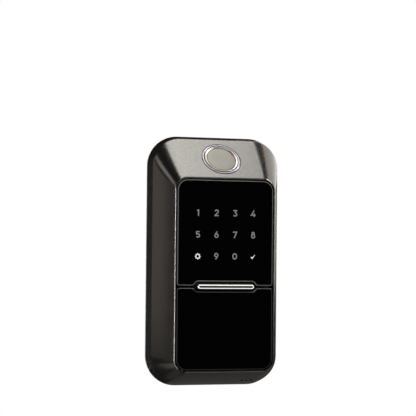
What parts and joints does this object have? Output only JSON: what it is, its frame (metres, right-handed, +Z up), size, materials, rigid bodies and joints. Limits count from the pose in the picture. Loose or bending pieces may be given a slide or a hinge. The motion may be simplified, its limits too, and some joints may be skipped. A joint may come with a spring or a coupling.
{
  "type": "keypad smart lock",
  "caption": "Outdoor unit of a keypad deadbolt: dark metal housing, glass touch keypad, fingerprint reader, lock bar, hinged key cover, key cylinder and tailpiece.",
  "frame": {"origin": "on the face that lies on the door, on the axis of the key cylinder, which is the axis of the door's bore", "axes": "+X to the right seen from outside, +Z up, the front faces -Y and +Y points into the door"},
  "size_m": [0.072, 0.0863, 0.1314],
  "materials": {
    "bronze_paint": "satin dark bronze metallic paint over a zinc casting",
    "black_plastic": "fine moulded texture",
    "black_glass": "high gloss, back-painted black",
    "legend_film": "printed film",
    "clear_plastic": "frosted acrylic",
    "circuit_board": "solder mask",
    "led_white": "moulded",
    "chip_black": "moulded epoxy",
    "ivory_plastic": "moulded",
    "light_ring": "frosted, pale lavender",
    "champagne_metal": "bright anodised chamfer",
    "reader_pad": "satin hard coat, warm grey",
    "chrome": "polished",
    "smoked_window": "smoked",
    "steel": "plated",
    "zinc_steel": "zinc-plated sheet",
    "magnet": "nickel-plated",
    "brass": "turned",
    "red_plastic": "moulded",
    "black_rubber": "matt"
  },
  "bodies": {
    "escutcheon": {"housing": "bronze_paint", "panel_carrier": "black_plastic", "carrier_screws": "steel", "touch_glass": "black_glass", "legend_film": "legend_film", "light_guide": "clear_plastic", "touch_board": "circuit_board", "key_lights": "led_white", "main_board": "circuit_board", "board_chips": "chip_black", "harness_socket": "ivory_plastic", "board_screws": "steel", "reader_light_ring": "light_ring", "reader_bezel": "champagne_metal", "reader_pad": "reader_pad", "reader_module": "black_plastic", "reader_clamp": "steel", "bar_switch": "chip_black", "switch_board": "circuit_board", "catch_magnets": "magnet", "key_guide_ring": "bronze_paint", "cylinder_body": "brass", "driver_pins": "brass", "tumbler_springs": "steel", "cylinder_screws": "steel", "buzzer": "chip_black", "base_plate": "zinc_steel", "plate_screws": "steel", "mounting_posts": "brass", "door_gasket": "black_rubber", "bore_ring": "black_plastic", "cable_grommet": "black_rubber"},
    "key_cover": {"cover_lens": "black_glass", "cover_frame": "black_plastic", "hinge_pins": "steel", "cover_magnets": "magnet"},
    "key_cylinder": {"key_plug": "brass", "key_pins": "brass", "tailpiece": "zinc_steel", "tail_cap": "zinc_steel"},
    "press_bar": {"lock_bar": "chrome", "bar_window": "smoked_window", "bar_clip": "steel", "switch_plunger": "red_plastic", "bar_spring": "steel"}
  },
  "joints": [
    {"name": "cover_flip", "type": "hinge", "parent": "escutcheon", "child": "key_cover", "pos_m": [0, -0.0212, 0.0147], "axis": [-1, 0, 0], "range_deg": [0, 90]},
    {"name": "key_turn", "type": "hinge", "parent": "escutcheon", "child": "key_cylinder", "pos_m": [0, 0, 0], "axis": [0, 1, 0], "range_deg": [-90, 90]},
    {"name": "bar_press", "type": "slide", "parent": "escutcheon", "child": "press_bar", "axis": [0, 1, 0], "range_m": [0, 0.0008], "stiffness_N_per_m": 1500, "springref_m": -0.0004, "deforming": ["bar_spring"]}
  ]
}
